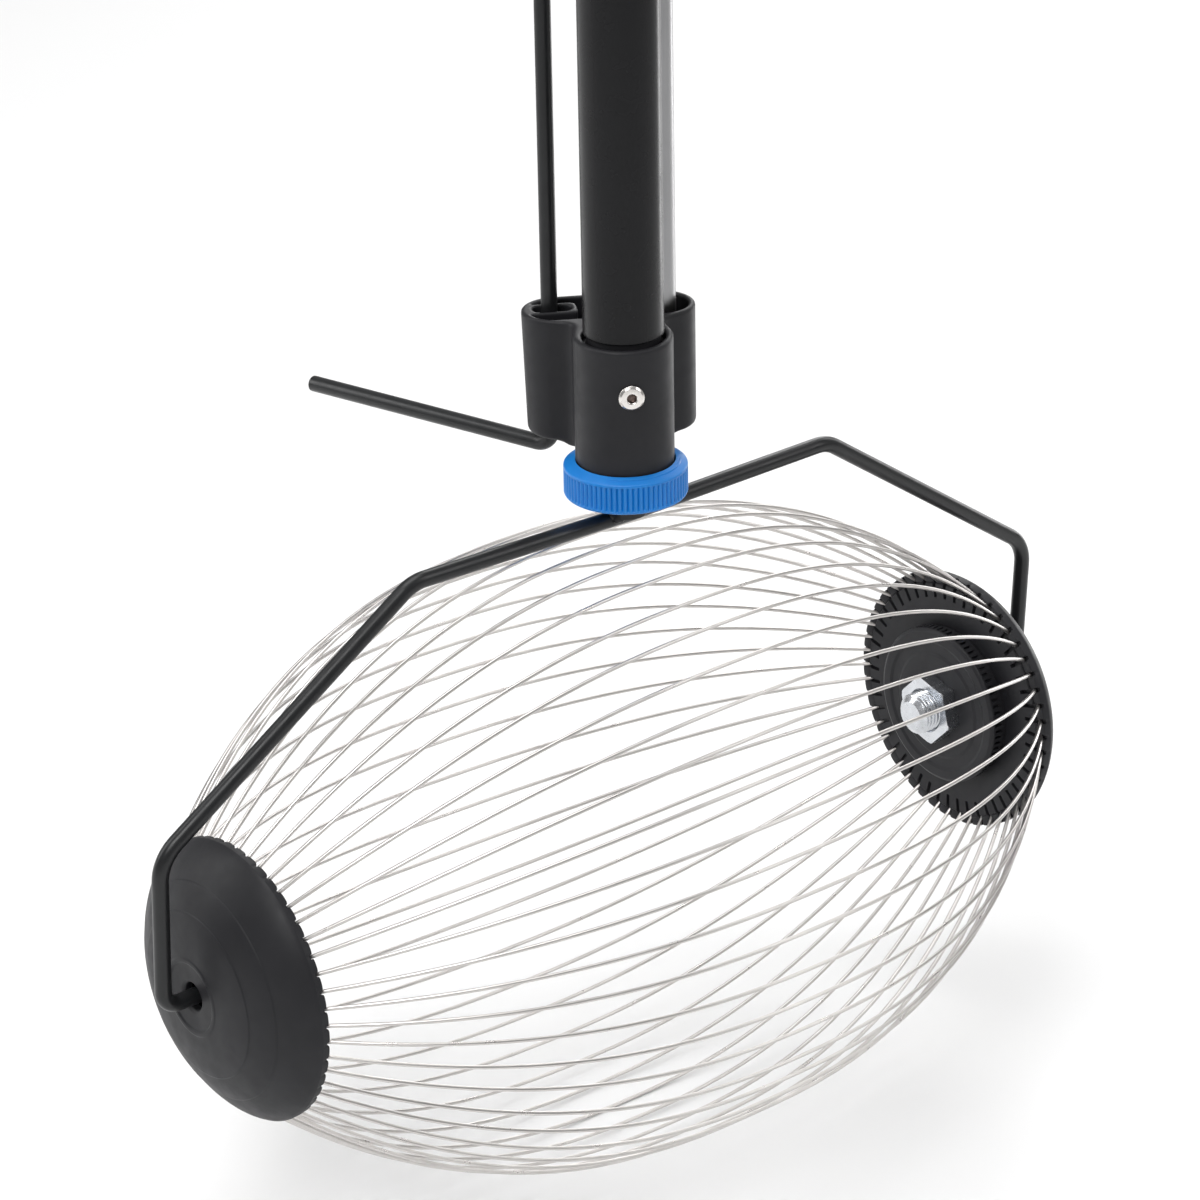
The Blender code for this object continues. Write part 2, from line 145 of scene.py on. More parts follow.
def surface(name, colour, roughness, metallic=0.0, mottle=0.12, mottle_size=9.0,
            smudge=0.06, smudge_size=5.0, grain=0.0, grain_size=0.3, stretch=(1, 1, 1),
            peel=0.0, peel_size=2.5, wear=0.0, wear_colour=(0.3, 0.3, 0.3),
            painted_shade=0.0, painted_shade_colour=(0.05, 0.05, 0.055), **sockets):
    """A Principled material whose colour, roughness and relief vary over the object.

    Sizes are of one patch, in millimetres. grain is the fine relief, peel the slow waves
    of a sprayed or moulded skin, wear the share of bare colour along outer edges, and
    painted_shade the share of dark colour painted into grooves as their shade. Any further
    socket of the shader can be given by its name in small letters.
    """
    made = bpy.data.materials.new(name)
    made.use_nodes = True
    tree = made.node_tree
    shader = tree.nodes["Principled BSDF"]
    shader.inputs["Metallic"].default_value = metallic
    for socket, value in sockets.items():
        label = socket.replace("_", " ").title().replace("Ior", "IOR")
        shader.inputs[label].default_value = value

    place = tree.nodes.new("ShaderNodeTexCoord").outputs["Object"]
    mapping = tree.nodes.new("ShaderNodeMapping")
    mapping.inputs["Scale"].default_value = stretch
    tree.links.new(place, mapping.inputs["Vector"])

    def noise(size, detail=2.0, vector=place):
        texture = tree.nodes.new("ShaderNodeTexNoise")
        texture.inputs["Scale"].default_value = 1.0 / (size * MM)
        texture.inputs["Detail"].default_value = detail
        tree.links.new(vector, texture.inputs["Vector"])
        return texture.outputs["Fac"]

    def spread(value, low, high):
        node = tree.nodes.new("ShaderNodeMapRange")
        node.inputs["From Min"].default_value = 0.3
        node.inputs["From Max"].default_value = 0.7
        node.inputs["To Min"].default_value = low
        node.inputs["To Max"].default_value = high
        tree.links.new(value, node.inputs["Value"])
        return node.outputs["Result"]

    def blend(factor, first, second):
        node = tree.nodes.new("ShaderNodeMix")
        node.data_type = "RGBA"
        tree.links.new(factor, node.inputs["Factor"])
        for socket, value in ((6, first), (7, second)):
            if isinstance(value, tuple):
                node.inputs[socket].default_value = (*value, 1.0)
            else:
                tree.links.new(value, node.inputs[socket])
        return node.outputs[2]

    dark = tuple(value * (1.0 - mottle) for value in colour)
    light = tuple(min(1.0, value * (1.0 + mottle)) for value in colour)
    skin = blend(spread(noise(mottle_size, 4.0), 0.0, 1.0), dark, light)
    # Pointiness is 0.5 on a flat face, more on an outer edge and less in a groove.
    # The second pass paints shade: a dark colour where pointiness is low, in grooves and hollows.
    for share, tint, start, full in ((wear, wear_colour, 0.52, 0.62),
                                     (painted_shade, painted_shade_colour, 0.485, 0.4)):
        if not share:
            continue
        edge = tree.nodes.new("ShaderNodeNewGeometry").outputs["Pointiness"]
        ramp = tree.nodes.new("ShaderNodeMapRange")
        ramp.inputs["From Min"].default_value = start
        ramp.inputs["From Max"].default_value = full
        ramp.inputs["To Max"].default_value = share
        tree.links.new(edge, ramp.inputs["Value"])
        skin = blend(ramp.outputs["Result"], skin, tint)
    tree.links.new(skin, shader.inputs["Base Color"])

    rough = spread(noise(smudge_size, 3.0, mapping.outputs["Vector"]),
                   roughness - smudge, roughness + smudge)
    tree.links.new(rough, shader.inputs["Roughness"])

    normal = None
    for strength, height, relief in (
            (peel, peel_size, noise(peel_size, 1.0)),
            (grain, grain_size, noise(grain_size, 3.0, mapping.outputs["Vector"]))):
        if not strength:
            continue
        bump = tree.nodes.new("ShaderNodeBump")
        bump.inputs["Strength"].default_value = strength
        bump.inputs["Distance"].default_value = 0.1 * height * MM
        tree.links.new(relief, bump.inputs["Height"])
        if normal is not None:
            tree.links.new(normal, bump.inputs["Normal"])
        normal = bump.outputs["Normal"]
    if normal is not None:
        tree.links.new(normal, shader.inputs["Normal"])
    return made


def make_looks():
    along_pole = (1.0, 1.0, 0.02)
    return {
        "pole_black": surface(
            "pole_black", (0.0075, 0.0075, 0.0085), 0.26, mottle=0.08, mottle_size=30.0,
            smudge=0.04, smudge_size=9.0, grain=0.02, grain_size=0.4, peel=0.015,
            peel_size=3.0, specular_ior_level=0.2),
        "black_plastic": surface(
            "black_plastic", (0.0165, 0.0165, 0.019), 0.48, mottle=0.08, smudge=0.05,
            grain=0.22, grain_size=0.25, peel=0.04, peel_size=4.0, specular_ior_level=0.26),
        "coated_rod": surface(
            "coated_rod", (0.012, 0.0125, 0.0135), 0.33, smudge=0.05, smudge_size=4.0,
            grain=0.08, grain_size=0.3, peel=0.04, peel_size=2.0, specular_ior_level=0.4),
        "blue_plastic": surface(
            "blue_plastic", (0.003, 0.2, 0.63), 0.38, mottle=0.05, smudge=0.05,
            grain=0.12, grain_size=0.25, wear=0.2, wear_colour=(0.05, 0.36, 0.88),
            subsurface_weight=0.04),
        "stainless_wire": surface(
            "stainless_wire", (0.66, 0.635, 0.615), 0.3, 1.0, mottle=0.06, mottle_size=14.0,
            smudge=0.03, smudge_size=9.0),
        # The zinc's thread grooves get painted shade: dark colour laid into them, not dirt.
        "zinc_plated": surface(
            "zinc_plated", (0.68, 0.7, 0.73), 0.24, 1.0, mottle=0.05, mottle_size=3.0,
            smudge=0.05, smudge_size=2.0, grain=0.04, grain_size=0.3, painted_shade=0.85),
        "aluminium_tube": surface(
            "aluminium_tube", (0.31, 0.31, 0.315), 0.34, 1.0, mottle=0.04, mottle_size=20.0,
            smudge=0.05, smudge_size=0.8, grain=0.15, grain_size=0.2,
            stretch=along_pole),
        "rivet_aluminium": surface(
            "rivet_aluminium", (0.8, 0.77, 0.74), 0.22, 1.0, mottle=0.05, mottle_size=1.0,
            smudge=0.05, smudge_size=0.8, grain=0.06, grain_size=0.2),
        "ferrule_rubber": surface(
            "ferrule_rubber", (0.018, 0.018, 0.018), 0.75, grain=0.5, grain_size=0.4),
        "washer_nylon": surface(
            "washer_nylon", (0.76, 0.75, 0.69), 0.45, grain=0.1, subsurface_weight=0.1),
        # The mandrel's steel: a real part, its near-black colour partly painted shade for the
        # rivet's bore.
        "mandrel_steel_bore_shade": surface(
            "mandrel_steel_bore_shade", (0.12, 0.09, 0.08), 0.45, 1.0, mottle=0.3, mottle_size=0.8,
            grain=0.4, grain_size=0.2),
    }


# ---------------------------------------------------------------- mesh tools

def build_mesh(name, points, faces, place, sharp=40.0):
    """One object from points in millimetres, carried into the world by place."""
    mesh = bpy.data.meshes.new(name)
    mesh.from_pydata([place @ Vector(point) * MM for point in points], [], faces)
    work = bmesh.new()
    work.from_mesh(mesh)
    bmesh.ops.remove_doubles(work, verts=work.verts, dist=0.001 * MM)
    bmesh.ops.dissolve_degenerate(work, edges=work.edges, dist=0.001 * MM)
    bmesh.ops.recalc_face_normals(work, faces=work.faces)
    work.to_mesh(mesh)
    work.free()
    mesh.shade_smooth()
    mesh.set_sharp_from_angle(angle=math.radians(sharp))
    made = bpy.data.objects.new(name, mesh)
    bpy.context.scene.collection.objects.link(made)
    return made


def softened(profile, radius, closed=False, steps=3):
    """A profile whose corners are rounded to about the given radius."""
    corners = [Vector(point) for point in profile]
    made = []
    for index, corner in enumerate(corners):
        into = corner - corners[index - 1]
        out = corners[(index + 1) % len(corners)] - corner
        turn = abs(into.angle_signed(out)) if into.length and out.length else 0.0
        on_end = not closed and index in (0, len(corners) - 1)
        if on_end or turn < math.radians(8.0):
            made.append(corner)
            continue
        reach = min(radius * math.tan(min(turn, 2.6) / 2), 0.45 * into.length, 0.45 * out.length)
        start = corner - into.normalized() * reach
        end = corner + out.normalized() * reach
        for step in range(steps + 1):
            share = step / steps
            made.append(start.lerp(corner, share).lerp(corner.lerp(end, share), share))
    return [tuple(point) for point in made]


def bowed(start, end, rise, steps=6):
    """Points between start and end of a profile, on a shallow curve that rises to its right."""
    first, last = Vector(start), Vector(end)
    along = last - first
    right = Vector((along.y, -along.x)).normalized()
    return [tuple(first + along * share + right * (4.0 * rise * share * (1.0 - share)))
            for share in (step / steps for step in range(1, steps))]


def upright(radius, low, high, steps):
    """Evenly spaced points of a profile from low to high, all at one radius."""
    return [(radius, low + (high - low) * step / steps) for step in range(steps + 1)]


def turned(name, profile, place, angles=96, axis="Z", closed=False, shape=None, sharp=40.0):
    """Turn a profile of (radius, height) points about an axis.

    closed joins its last point to its first. shape(radius, height, angle) may move a
    point, which makes ribs, notches, flats and threads.
    """
    if isinstance(angles, int):
        angles = [math.tau * step / angles for step in range(angles)]
    points = []
    rings = []
    for radius, height in profile:
        ring = []
        for angle in angles if radius else angles[:1]:
            r, h = shape(radius, height, angle) if shape and radius else (radius, height)
            across = (r * math.cos(angle), r * math.sin(angle))
            ring.append(len(points))
            points.append((*across, h) if axis == "Z" else (h, *across))
        rings.append(ring)
    pairs = list(zip(rings, rings[1:]))
    if closed:
        pairs.append((rings[-1], rings[0]))
    faces = []
    count = len(angles)
    for low, high in pairs:
        for step in range(count):
            after = (step + 1) % count
            if len(low) == 1:
                faces.append((low[0], high[step], high[after]))
            elif len(high) == 1:
                faces.append((low[step], high[0], low[after]))
            else:
                faces.append((low[step], high[step], high[after], low[after]))
    return build_mesh(name, points, faces, place, sharp)


def pitched(count, first, marks):
    """Angles round a turned piece: each of count pitches is split at the same marks."""
    pitch = math.tau / count
    return [first + pitch * (index + mark) for index in range(count) for mark in marks]


def phase(angle, count, first):
    """Where an angle lies in its pitch: 0 in the middle, and 0.5 either way at its ends."""
    turns = (angle - first) * count / math.tau
    return turns - round(turns)


def thread(pitch, depth, low, high, radius, fade=1.5):
    """A shape for turned that cuts a screw thread into the points at one radius."""
    def cut(r, h, angle):
        if abs(r - radius) > 0.01 or not low < h < high:
            return r, h
        wave = abs((h / pitch - angle / math.tau) % 1.0 - 0.5) * 2.0
        groove = 0.5 - 0.5 * math.cos(math.pi * wave)
        ends = min(1.0, (h - low) / fade, (high - h) / fade)
        return r - depth * groove * ends, h
    return cut


def rounded(corners, bends, steps=14):
    """A path through corners, with each inner corner bent to its own radius."""
    corners = [Vector(corner) for corner in corners]
    path = [corners[0]]
    for before, corner, after, radius in zip(corners, corners[1:], corners[2:], bends):
        into = (corner - before).normalized()
        out = (after - corner).normalized()
        turn = into.angle(out)
        centre = corner + (out - into).normalized() * (radius / math.cos(turn / 2))
        start = corner - into * (radius * math.tan(turn / 2)) - centre
        for step in range(steps + 1):
            spin = Matrix.Rotation(turn * step / steps, 3, into.cross(out))
            path.append(centre + spin @ start)
    path.append(corners[-1])
    return path


def swept(name, path, radius, place, sides=24, end_round=0.0):
    """A round rod along a path, its ends flat or rounded off by end_round."""
    path = [Vector(point) for point in path]
    radii = [radius] * len(path)
    if end_round:
        first = (path[1] - path[0]).normalized()
        last = (path[-1] - path[-2]).normalized()
        turns = [math.radians(angle) for angle in (0.0, 30.0, 60.0, 90.0)]
        depths = [end_round * (1.0 - math.cos(turn)) for turn in turns]
        caps = [radius - end_round * (1.0 - math.sin(turn)) for turn in turns]
        radii = caps + radii[1:-1] + caps[::-1]
        path = ([path[0] + first * depth for depth in depths] + path[1:-1]
                + [path[-1] - last * depth for depth in reversed(depths)])
    points = []
    side = None
    for index, point in enumerate(path):
        along = (path[min(index + 1, len(path) - 1)] - path[max(index - 1, 0)]).normalized()
        if side is None:
            side = Vector((0.0, 1.0, 0.0)) if abs(along.y) < 0.9 else Vector((1.0, 0.0, 0.0))
        side = (side - along * side.dot(along)).normalized()
        other = along.cross(side)
        for step in range(sides):
            angle = math.tau * step / sides
            points.append(point + radii[index] * (side * math.cos(angle) + other * math.sin(angle)))
    faces = [tuple(range(sides))[::-1]]
    for low in range(0, len(points) - sides, sides):
        high = low + sides
        for step in range(sides):
            after = (step + 1) % sides
            faces.append((low + step, low + after, high + after, high + step))
    faces.append(tuple(range(len(points) - sides, len(points))))
    return build_mesh(name, points, faces, place, sharp=50.0)


def moulded(name, field, low, high, step, place):
    """A closed skin round the points where field(x, y, z) is negative.

    Each grid cell that the surface crosses gets one vertex, which is then pulled onto the
    surface, and each grid edge that it crosses gets one face.
    """
    grid = np.meshgrid(*(np.arange(a, b, step) for a, b in zip(low, high)), indexing="ij")
    value = field(*grid)
    inside = value < 0.0
    units = np.eye(3, dtype=int)
    cells = []
    spots = []
    for axis in range(3):
        unit, first, second = np.roll(units, -axis, axis=0)
        near = tuple(slice(None, -1) if index == axis else slice(None) for index in range(3))
        far = tuple(slice(1, None) if index == axis else slice(None) for index in range(3))
        edge = np.argwhere(inside[near] != inside[far])
        before = value[tuple(edge.T)]
        after = value[tuple((edge + unit).T)]
        spot = edge + unit * (before / (before - after))[:, None]
        around = [edge, edge - first, edge - first - second, edge - second]
        face = np.stack([np.ravel_multi_index(cell.T, value.shape) for cell in around], 1)
        face[before > 0.0] = face[before > 0.0][:, ::-1]
        cells.append(face)
        spots.append(np.repeat(spot[:, None], 4, axis=1))
    which = np.unique(np.concatenate(cells), return_inverse=True)[1].ravel()
    spots = np.concatenate(spots).reshape(-1, 3)
    share = np.bincount(which)
    points = np.stack([np.bincount(which, spots[:, axis]) / share for axis in range(3)], 1)
    points = points * step + np.array(low)
    small = 0.02
    for _ in range(3):
        slope = np.stack([
            (field(*(points + arm).T) - field(*(points - arm).T)) / (2.0 * small)
            for arm in small * np.eye(3)], 1)
        pull = field(*points.T) / np.maximum((slope ** 2).sum(1), 0.05)
        points -= slope * np.clip(pull, -0.5 * step, 0.5 * step)[:, None]
    return build_mesh(name, points.tolist(), which.reshape(-1, 4).tolist(), place, sharp=180.0)


# Shapes for moulded: each is the distance to a surface, and less than 0 inside it.

def both(first, second, blend=0.0):
    """What two shapes have in common, with the edge between them rounded by blend."""
    return -either(-first, -second, blend)


def either(first, second, blend=0.0):
    """Two shapes as one, with a fillet of about the size of blend between them."""
    if not blend:
        return np.minimum(first, second)
    share = np.clip(0.5 + 0.5 * (second - first) / blend, 0.0, 1.0)
    return second + (first - second) * share - blend * share * (1.0 - share)


def slab(z, low, high):
    """The layer between two heights, or between two upright planes."""
    return np.abs(z - 0.5 * (low + high)) - 0.5 * (high - low)


def slot_shape(x, y, left, right, middle, radius):
    """An upright wall in the plan of a slot whose round ends have centres at left and right."""
    return np.hypot(x - np.clip(x, left, right), y - middle) - radius


def dress(piece, body, slot, looks, *nodes):
    """The piece rides on a body, stands for nodes and takes its finish from a slot."""
    piece.data.materials.append(looks[slot])
    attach(piece, body)
    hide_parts(*nodes)
    return piece


# ---------------------------------------------------------------- pole section

def make_pole(looks):
    inner = POLE_RADIUS - POLE_WALL
    tube_fit = inner - GAP
    tube = turned("pole_tube_drawn", softened([
        (inner, POLE_BOTTOM), (POLE_RADIUS, POLE_BOTTOM),
        (POLE_RADIUS, POLE_TOP), (inner, POLE_TOP),
    ], 0.5, closed=True), TOOL, angles=128, closed=True)
    dress(tube, "pole", "pole_black", looks, "pole_tube")

    bore, shoulder = 8.2, 11.4
    foot, top = 134.6, 205.0
    core = turned("pole_core_plug", softened([
        (bore, foot), (shoulder, foot), (shoulder, POLE_BOTTOM - GAP),
        (tube_fit, POLE_BOTTOM - GAP), (tube_fit, top), (bore, top),
    ], 0.4, closed=True), TOOL, closed=True)
    dress(core, "pole", "black_plastic", looks, "pole_core")

    plug = 424.0                 # height of the coupling's lower end, inside the tube
    collar_from = POLE_TOP + GAP
    collar_to = POLE_TOP + 4.0
    neck = SPIGOT_RADIUS - 1.2
    thread_from = collar_to + 0.8
    thread_to = TOOL_TOP - 1.2
    coupling = turned("pole_coupling_spigot", [
        *softened([(0.0, plug), (tube_fit, plug), (tube_fit, collar_from),
                   (POLE_RADIUS, collar_from), (POLE_RADIUS, collar_to), (neck, collar_to),
                   (neck, thread_from)], 0.5),
        *upright(SPIGOT_RADIUS, thread_from, thread_to, 96),
        *softened([(SPIGOT_RADIUS, thread_to), (neck, TOOL_TOP), (0.0, TOOL_TOP)], 0.3),
    ], TOOL, angles=72, sharp=35.0,
        shape=thread(3.0, 1.1, thread_from, thread_to + 0.1, SPIGOT_RADIUS))
    dress(coupling, "pole", "black_plastic", looks, "pole_coupling")


# ---------------------------------------------------------------- clamp bracket

def bracket_field(x, y, z):
    """The bracket in its own frame: socket, rear pocket with its slot, and the neck."""
    axis = np.hypot(x, y)
    above = SOCKET_TOP + 3.0     # the outsides run on past the top, and are cut there together
    socket = both(axis - SOCKET_RADIUS, slab(z, SOCKET_BOTTOM, above), 1.0)
    draft = np.clip((SOCKET_TOP - z) / (SOCKET_TOP - POCKET_BOTTOM), 0.0, 1.2) * 1.3
    left = POCKET_LEFT + draft
    wall = slot_shape(x, y, left, POCKET_RIGHT, POCKET_BACK, POCKET_RADIUS)
    pocket = both(wall, slab(z, POCKET_BOTTOM, above), 2.2)
    web_half = 13.4
    web = both(both(np.abs(x) - web_half, slab(y, 2.0, 17.0)),
               slab(z, POCKET_BOTTOM + 0.6, above), 1.5)
    shell = either(either(socket, web, 4.0), pocket, 7.0)
    nub = np.sqrt((x - 14.5) ** 2 + (y - 18.5) ** 2 + (z - POCKET_BOTTOM - 0.6) ** 2) - 1.9
    shell = either(shell, nub, 1.0)
    shell = both(shell, z - SOCKET_TOP, 1.1)
    neck = both(axis - NECK_RADIUS, slab(z, NECK_BOTTOM, SOCKET_BOTTOM + 2.0), 0.5)
    shell = either(shell, neck)

    slot_left = -21.6
    slot_right = -15.2
    slot_y = EMPTYING_ROD_AT[1]
    slot_wall = both(np.abs(y - slot_y) - 4.3, x - (slot_right + 4.6), 2.4)
    hollow = slot_shape(x, y, left, POCKET_RIGHT, POCKET_BACK, POCKET_RADIUS - POCKET_WALL)
    hollow = both(hollow, -slot_wall, 1.2)
    hollow = both(hollow, (POCKET_BOTTOM + POCKET_FLOOR) - z, 0.8)
    hollow = both(hollow, axis - POCKET_REACH)
    shell = both(shell, -hollow, 0.9)
    slot = slot_shape(x, y, slot_left, slot_right, slot_y, ROD_RADIUS + 0.4)
    shell = both(shell, -slot, 0.8)

    bore = both(axis - 11.75, 134.2 - z)
    mouth = both(axis - 12.9, (SOCKET_TOP - 3.0) - z, 0.5)
    shell = both(shell, -either(bore, mouth), 0.7)
    rivet_hole = both(np.hypot(x, z - RIVET_Z) - 2.3, y)
    return both(shell, -rivet_hole)


def make_bracket(looks):
    bracket = moulded("clamp_bracket_moulding", bracket_field,
                      (-30.0, -17.0, 124.0), (28.5, 39.5, 174.5), 0.5, BRACKET)
    dress(bracket, "pole", "black_plastic", looks, "clamp_bracket")

    front = (BRACKET @ Matrix.Translation((0.0, 0.0, RIVET_Z))
             @ Matrix.Rotation(math.pi / 2, 4, "X"))
    seat = SOCKET_RADIUS + 0.05
    hole, shank, head = 1.45, 2.0, 4.0
    rivet = turned("blind_rivet", softened([
        (hole, 6.2), (2.9, 6.2), (2.9, 7.6), (shank, 8.0), (shank, seat), (head, seat),
        (head, seat + 0.55), (3.3, seat + 1.25), (1.8, seat + 1.35), (hole, seat + 1.1),
    ], 0.35, closed=True, steps=4), front, angles=96, closed=True)
    dress(rivet, "pole", "rivet_aluminium", looks, "rivet")
    mandrel_radius = hole - 0.01
    # The mandrel is a real part; its very dark colour is also painted shade down in the rivet's
    # bore.
    mandrel = turned("rivet_mandrel", softened([
        (0.0, 7.0), (mandrel_radius, 7.0), (mandrel_radius, seat + 0.3), (0.8, seat + 0.45),
        (0.0, seat + 0.4),
    ], 0.3), front, angles=48)
    mandrel.data.materials.append(looks["mandrel_steel_bore_shade"])
    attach(mandrel, "pole")


def make_spare_tube(looks):
    place = BRACKET @ Matrix.Translation((*SPARE_TUBE_AT, 0.0))
    foot = POCKET_BOTTOM + POCKET_FLOOR + GAP
    low = foot + 2.0
    inner = SPARE_TUBE_RADIUS - 1.0
    tube = turned("spare_tube_drawn", softened([
        (inner, low), (SPARE_TUBE_RADIUS, low),
        (SPARE_TUBE_RADIUS, SPARE_TUBE_TOP), (inner, SPARE_TUBE_TOP),
    ], 0.3, closed=True), place, closed=True)
    dress(tube, "spare_tube", "aluminium_tube", looks, "spare_tube")

    outer = POCKET_RADIUS - POCKET_WALL - GAP
    sleeve = SPARE_TUBE_RADIUS + 0.05
    brim = foot + 11.0
    groove = [(outer, foot + 3.0), (outer - 0.45, foot + 3.5), (outer, foot + 4.0)]
    grooves = [(radius, height + 2.2 * index) for index in range(3) for radius, height in groove]
    ferrule = turned("spare_tube_foot", softened([
        (0.0, foot), (outer, foot), *grooves, (outer, brim), (sleeve, brim),
        (sleeve, low - GAP), (0.0, low - GAP),
    ], 0.5), place, angles=64)
    dress(ferrule, "spare_tube", "ferrule_rubber", looks, "spare_tube_ferrule")

    top = SPARE_TUBE_TOP
    rim = SPARE_TUBE_RADIUS + 0.4
    cap = turned("spare_tube_end_cap", softened([
        (0.0, top - 12.0), (inner - GAP, top - 12.0), (inner - GAP, top + 0.1), (rim, top + 0.1),
        (rim, top + 2.6), (rim - 1.2, top + 4.0), (3.2, top + 4.0), (2.6, top + 3.4),
        (0.0, top + 3.4),
    ], 0.6), place, angles=64)
    dress(cap, "spare_tube", "black_plastic", looks, "spare_tube_cap")


def make_emptying_rod(looks):
    foot = Matrix.Rotation(BRACKET_TURN, 3, "Z") @ Vector((*EMPTYING_ROD_AT, 0.0))
    corner = foot + Vector((0.0, 0.0, ARM_Z))
    reach = Vector((math.cos(ARM_TURN), math.sin(ARM_TURN), 0.0)) * ARM_LENGTH
    path = rounded([foot + Vector((0.0, 0.0, ROD_TOP)), corner, corner + reach], [ARM_BEND])
    rod = swept("emptying_rod_bent", path, ROD_RADIUS, TOOL, end_round=0.6)
    dress(rod, "emptying_rod", "coated_rod", looks, "emptying_rod")

    flutes = 12
    flute_from, flute_to = 410.5, 427.0

    def grip(radius, height, angle):
        if radius < 6.0 or not flute_from < height < flute_to:
            return radius, height
        swell = math.sin(math.pi * (height - flute_from) / (flute_to - flute_from))
        dip = 0.5 + 0.5 * math.cos(flutes * angle)
        return radius - 0.7 * swell * dip ** 2, height

    body = softened([
        (5.0, 402.0), (6.5, 404.0), (6.5, 410.0), (8.6, 415.0), (9.0, 421.0), (7.6, 426.5),
        (4.0, 429.6), (0.0, 430.4),
    ], 2.5, steps=6)
    bore = ROD_RADIUS + 0.05
    knob = turned("emptying_rod_grip", [
        (0.0, ROD_TOP + GAP), (bore, ROD_TOP + GAP), (bore, 402.4), (bore + 0.4, 402.0), *body,
    ], TOOL @ Matrix.Translation(foot), angles=flutes * 12, shape=grip)
    dress(knob, "emptying_rod", "black_plastic", looks, "emptying_rod_knob")


# ---------------------------------------------------------------- yoke and lock nut

def stub_field(x, y, z):
    """The flanged stub with its saddle over the top bar, and the weld that holds them."""
    axis = np.hypot(x, y)
    top = 125.2
    stub = both(axis - STUB_RADIUS, slab(z, BAR_Z + 0.6, top), 0.5)
    flange = both(axis - 11.0, slab(z, top - 1.6, top), 0.4)
    lean_y = y * math.cos(LEAN) + (z - BAR_Z) * math.sin(LEAN)
    lean_z = -y * math.sin(LEAN) + (z - BAR_Z) * math.cos(LEAN)
    bar = np.hypot(lean_y, lean_z) - ROD_RADIUS
    angle = np.arctan2(y, x)
    bead = 1.5 + 0.22 * np.cos(26.0 * angle)
    weld = np.hypot(axis - STUB_RADIUS, bar) - bead
    weld = both(weld, slab(z, BAR_Z - 0.2, BAR_Z + 4.2), 0.8)
    whole = either(either(stub, flange, 0.4), weld, 0.5)
    return both(whole, -(bar + 0.15), 0.1)


def make_yoke(looks):
    half = [(ROD_END_X, 0.0), (LEG_X, 0.0), (LEG_X, SHOULDER_Z), (BAR_HALF, BAR_END_Z)]
    corners = [(x, 0.0, z - BAR_Z) for x, z in half]
    corners.append((0.0, 0.0, 0.0))
    corners += [(-x, 0.0, z - BAR_Z) for x, z in reversed(half)]
    bends = [LEG_BEND, SHOULDER_BEND, SHOULDER_BEND, 60.0,
             SHOULDER_BEND, SHOULDER_BEND, LEG_BEND]
    rod = swept("yoke_rod_bent", rounded(corners, bends), ROD_RADIUS, YOKE, end_round=0.5)
    dress(rod, "yoke", "coated_rod", looks, "yoke_rod")

    stub = moulded("yoke_stub_welded", stub_field, (-12.5, -12.5, 108.5), (12.5, 12.5, 126.5),
                   0.35, TOOL)
    dress(stub, "yoke", "coated_rod", looks, "yoke_stub")


def make_lock_nut(looks):
    inner, outer = STUB_RADIUS + 0.4, NUT_BORE - 0.4
    low, high = 122.7, 123.3
    washer = turned("slip_washer_disc", softened([
        (inner, low), (outer, low), (outer, high), (inner, high),
    ], 0.15, closed=True), TOOL, closed=True)
    dress(washer, "slip_washer", "washer_nylon", looks, "slip_washer")

    ridges = 72
    flute = 0.7
    rim = 0.95
    fade = 0.5
    edge = NUT_RADIUS - 0.4
    crest = POCKET_BOTTOM - 0.4
    seat = SOCKET_RADIUS + 0.4
    bead_rise = 0.35             # of the broken ring on the cone

    def cone(radius, rise=0.0):
        """A point of the profile on the nut's cone, or rise above it."""
        return radius, NUT_TOP - 0.1 + (crest - NUT_TOP) * (edge - radius) / (edge - seat) + rise

    def ribbed(radius, height, angle):
        if abs(radius - NUT_RADIUS) < 0.01:
            ends = min(height - NUT_BOTTOM - rim, NUT_TOP - rim - height)
            depth = flute * min(1.0, max(0.0, ends / fade))
            return radius - depth * (2.0 * abs(phase(angle, ridges, 0.0))) ** 2, height
        if height > cone(radius)[1] + 0.1 and math.sin(1.5 * angle + 0.9) < 0.15:
            return cone(radius)
        return radius, height

    side = [(NUT_RADIUS, NUT_BOTTOM + rim + height) for height in
            (0.0, 0.15, 0.35, fade, 2.0, 4.0, 6.1, 7.6, 7.75, 7.95, 8.1)]
    shelf = NUT_TOP - 2.0
    floor = NUT_BOTTOM + 1.4
    nut = turned("lock_nut_moulding", [
        *softened([(NUT_HOLE, NUT_BOTTOM + 0.5), (NUT_HOLE + 0.4, NUT_BOTTOM),
                   (NUT_RADIUS - rim, NUT_BOTTOM), (NUT_RADIUS - 0.25, NUT_BOTTOM + 0.35),
                   side[0]], 0.4),
        *side[1:-1],
        *softened([side[-1], (NUT_RADIUS - 0.1, NUT_TOP - 0.3), cone(edge), cone(17.25)], 0.4),
        cone(17.1, bead_rise), cone(16.8, bead_rise), cone(16.65),
        *softened([cone(seat + 0.1), (seat, crest - 0.6), (seat, shelf), (NUT_BORE, shelf),
                   (NUT_BORE, floor), (NUT_HOLE, floor)], 0.3),
    ], TOOL, angles=ridges * 8, closed=True, shape=ribbed)
    dress(nut, "lock_nut", "blue_plastic", looks, "lock_nut")


# ---------------------------------------------------------------- basket

